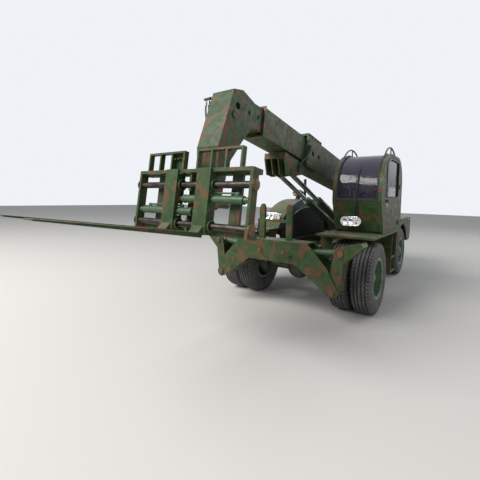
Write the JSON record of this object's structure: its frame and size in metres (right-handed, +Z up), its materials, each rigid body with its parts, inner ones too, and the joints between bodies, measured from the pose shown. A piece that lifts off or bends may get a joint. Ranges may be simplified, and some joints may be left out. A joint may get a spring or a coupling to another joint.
{
  "type": "telescopic boom fork stacker",
  "caption": "Four-wheel boom fork stacker with a gooseneck head on a telescopic boom, tilting fork carriage, arched side cab and folding front stabiliser legs",
  "frame": {"origin": "on the ground under the middle of the front axle, which is the bottom centre of the bounding box", "axes": "-Y forward towards the fork tips, +X to the machine's left (the cab's side), +Z up"},
  "size_m": [2.62, 8.5812, 2.9702],
  "materials": {
    "camouflage": "camouflage paint, satin",
    "plain_green": "plain mid green paint",
    "dark_paint": "dark green paint, dusty",
    "rim_paint": "light green paint",
    "engine_iron": "painted black",
    "tyre": "dusty rubber",
    "shaft_steel": "greased steel",
    "rod_chrome": "polished",
    "cab_glass": "violet tint",
    "black_trim": "black",
    "seat_vinyl": "black vinyl",
    "lamp_clear": "lamp lens with bright reflector",
    "lamp_red": "red lens"
  },
  "bodies": {
    "chassis": {"chassis_frame": "camouflage", "front_bridge": "camouflage", "boom_rest": "camouflage", "front_axle": "dark_paint", "rear_axle": "dark_paint", "drive_line": "dark_paint", "deck_plates": "camouflage", "engine_hood": "camouflage", "air_cleaner": "black_trim", "exhaust_pipe": "black_trim", "engine_block": "engine_iron", "side_tanks": "camouflage", "cab_steps": "camouflage", "rear_fenders": "camouflage", "counterweight": "camouflage", "cab_floor": "camouflage", "cab_front_panel": "camouflage", "cab_roof_frame": "camouflage", "cab_back_wall": "camouflage", "cab_inner_side": "camouflage", "cab_outer_side": "camouflage", "cab_glass": "cab_glass", "cab_seat": "seat_vinyl", "cab_controls": "black_trim", "roof_hoops": "black_trim", "headlamps": "lamp_clear", "rear_lamps": "lamp_red"},
    "cab_door": {"cab_door": "camouflage", "door_glass": "cab_glass"},
    "knuckle_left": {"knuckle_left": "dark_paint"},
    "knuckle_right": {"knuckle_right": "dark_paint"},
    "steering_rod": {"steering_rod": "rod_chrome"},
    "front_left_wheels": {"front_left_tyres": "tyre", "front_left_rims": "rim_paint"},
    "front_right_wheels": {"front_right_tyres": "tyre", "front_right_rims": "rim_paint"},
    "rear_left_wheel": {"rear_left_tyre": "tyre", "rear_left_rim": "rim_paint"},
    "rear_right_wheel": {"rear_right_tyre": "tyre", "rear_right_rim": "rim_paint"},
    "boom_outer": {"boom_outer": "camouflage"},
    "boom_middle": {"boom_middle": "camouflage"},
    "boom_inner": {"boom_inner": "camouflage", "boom_head": "camouflage"},
    "carriage": {"carriage_frame": "camouflage", "guide_shafts": "shaft_steel", "load_guards": "camouflage", "positioner_barrels": "plain_green"},
    "fork_left": {"fork_left": "camouflage"},
    "fork_right": {"fork_right": "camouflage"},
    "lift_barrels": {"lift_barrels": "plain_green"},
    "lift_rods": {"lift_rods": "rod_chrome"},
    "tilt_barrel": {"tilt_barrel": "plain_green"},
    "tilt_rod": {"tilt_rod": "rod_chrome"},
    "leg_left": {"leg_left": "camouflage"},
    "leg_right": {"leg_right": "camouflage"},
    "leg_barrel_left": {"leg_barrel_left": "plain_green"},
    "leg_barrel_right": {"leg_barrel_right": "plain_green"},
    "leg_rod_left": {"leg_rod_left": "rod_chrome"},
    "leg_rod_right": {"leg_rod_right": "rod_chrome"}
  },
  "joints": [
    {"name": "front_left_spin", "type": "hinge", "parent": "chassis", "child": "front_left_wheels", "pos_m": [0.9875, 0, 0.5425], "axis": [1, 0, 0], "continuous": true},
    {"name": "front_right_spin", "type": "hinge", "parent": "chassis", "child": "front_right_wheels", "pos_m": [-0.9875, 0, 0.5425], "axis": [1, 0, 0], "continuous": true},
    {"name": "steer_left", "type": "hinge", "parent": "chassis", "child": "knuckle_left", "pos_m": [0.74, 3.2, 0.5425], "axis": [0, 0, 1], "range_deg": [-30, 30]},
    {"name": "steer_right", "type": "hinge", "parent": "chassis", "child": "knuckle_right", "pos_m": [-0.74, 3.2, 0.5425], "axis": [0, 0, 1], "range_deg": [-30, 30]},
    {"name": "rear_left_spin", "type": "hinge", "parent": "knuckle_left", "child": "rear_left_wheel", "pos_m": [0.93, 3.2, 0.5425], "axis": [1, 0, 0], "continuous": true},
    {"name": "rear_right_spin", "type": "hinge", "parent": "knuckle_right", "child": "rear_right_wheel", "pos_m": [-0.93, 3.2, 0.5425], "axis": [1, 0, 0], "continuous": true},
    {"name": "steering_rod_slide", "type": "slide", "parent": "chassis", "child": "steering_rod", "axis": [1, 0, 0], "range_m": [-0.095, 0.095]},
    {"name": "door_hinge", "type": "hinge", "parent": "chassis", "child": "cab_door", "pos_m": [1.282, 1.425, 1.6], "axis": [0, 0, 1], "range_deg": [0, 100]},
    {"name": "boom_lift", "type": "hinge", "parent": "chassis", "child": "boom_outer", "pos_m": [0, 3.4, 1.93], "axis": [-1, 0, 0], "range_deg": [-8.5, 50]},
    {"name": "boom_middle_slide", "type": "slide", "parent": "boom_outer", "child": "boom_middle", "axis": [0, -0.9888, 0.1495], "range_m": [0, 1.5]},
    {"name": "boom_inner_slide", "type": "slide", "parent": "boom_middle", "child": "boom_inner", "axis": [0, -0.9888, 0.1495], "range_m": [0, 1.5]},
    {"name": "carriage_tilt", "type": "hinge", "parent": "boom_inner", "child": "carriage", "pos_m": [0, -2.47041, 1.6598], "axis": [1, 0, 0], "range_deg": [-8, 50]},
    {"name": "fork_left_slide", "type": "slide", "parent": "carriage", "child": "fork_left", "axis": [1, 0, 0], "range_m": [-0.055, 0.42]},
    {"name": "fork_right_slide", "type": "slide", "parent": "carriage", "child": "fork_right", "axis": [-1, 0, 0], "range_m": [-0.055, 0.42]},
    {"name": "lift_barrel_hinge", "type": "hinge", "parent": "chassis", "child": "lift_barrels", "pos_m": [0, 2.1, 1.08], "axis": [-1, 0, 0], "range_deg": [-9.6, 55.2]},
    {"name": "lift_rod_slide", "type": "slide", "parent": "lift_barrels", "child": "lift_rods", "axis": [0, -0.9381, 0.3465], "range_m": [-0.215, 1.24]},
    {"name": "tilt_barrel_hinge", "type": "hinge", "parent": "boom_inner", "child": "tilt_barrel", "pos_m": [0, -2.15348, 2.65863], "axis": [-1, 0, 0], "range_deg": [-0.8, 4.3]},
    {"name": "tilt_rod_slide", "type": "slide", "parent": "tilt_barrel", "child": "tilt_rod", "axis": [0, -0.0572, -0.9984], "range_m": [-0.212, 0.036]},
    {"name": "leg_left_swing", "type": "hinge", "parent": "chassis", "child": "leg_left", "pos_m": [0.935, -0.85, 0.49], "axis": [0, 1, 0], "range_deg": [0, 95]},
    {"name": "leg_barrel_left_hinge", "type": "hinge", "parent": "chassis", "child": "leg_barrel_left", "pos_m": [0.2, -0.85, 0.93], "axis": [0, 1, 0], "range_deg": [0, 30]},
    {"name": "leg_rod_left_slide", "type": "slide", "parent": "leg_barrel_left", "child": "leg_rod_left", "axis": [0.9954, 0, 0.0959], "range_m": [0, 0.61]},
    {"name": "leg_right_swing", "type": "hinge", "parent": "chassis", "child": "leg_right", "pos_m": [-0.935, -0.85, 0.49], "axis": [0, -1, 0], "range_deg": [0, 95]},
    {"name": "leg_barrel_right_hinge", "type": "hinge", "parent": "chassis", "child": "leg_barrel_right", "pos_m": [-0.2, -0.85, 0.93], "axis": [0, -1, 0], "range_deg": [0, 30]},
    {"name": "leg_rod_right_slide", "type": "slide", "parent": "leg_barrel_right", "child": "leg_rod_right", "axis": [-0.9954, 0, 0.0959], "range_m": [0, 0.61]}
  ],
  "couplings": [
    {"joint": "steer_right", "follows": "steer_left", "ratio": 1},
    {"joint": "steering_rod_slide", "follows": "steer_left", "m_per_rad": -0.175},
    {"joint": "boom_inner_slide", "follows": "boom_middle_slide", "ratio": 1},
    {"joint": "lift_barrel_hinge", "follows": "boom_lift", "ratio": 1.0981},
    {"joint": "lift_rod_slide", "follows": "boom_lift", "m_per_rad": 1.4127},
    {"joint": "tilt_barrel_hinge", "follows": "carriage_tilt", "ratio": 0.0819},
    {"joint": "tilt_rod_slide", "follows": "carriage_tilt", "m_per_rad": -0.239},
    {"joint": "leg_barrel_left_hinge", "follows": "leg_left_swing", "ratio": 0.3112},
    {"joint": "leg_rod_left_slide", "follows": "leg_left_swing", "m_per_rad": 0.3642},
    {"joint": "leg_barrel_right_hinge", "follows": "leg_right_swing", "ratio": 0.3112},
    {"joint": "leg_rod_right_slide", "follows": "leg_right_swing", "m_per_rad": 0.3642}
  ]
}
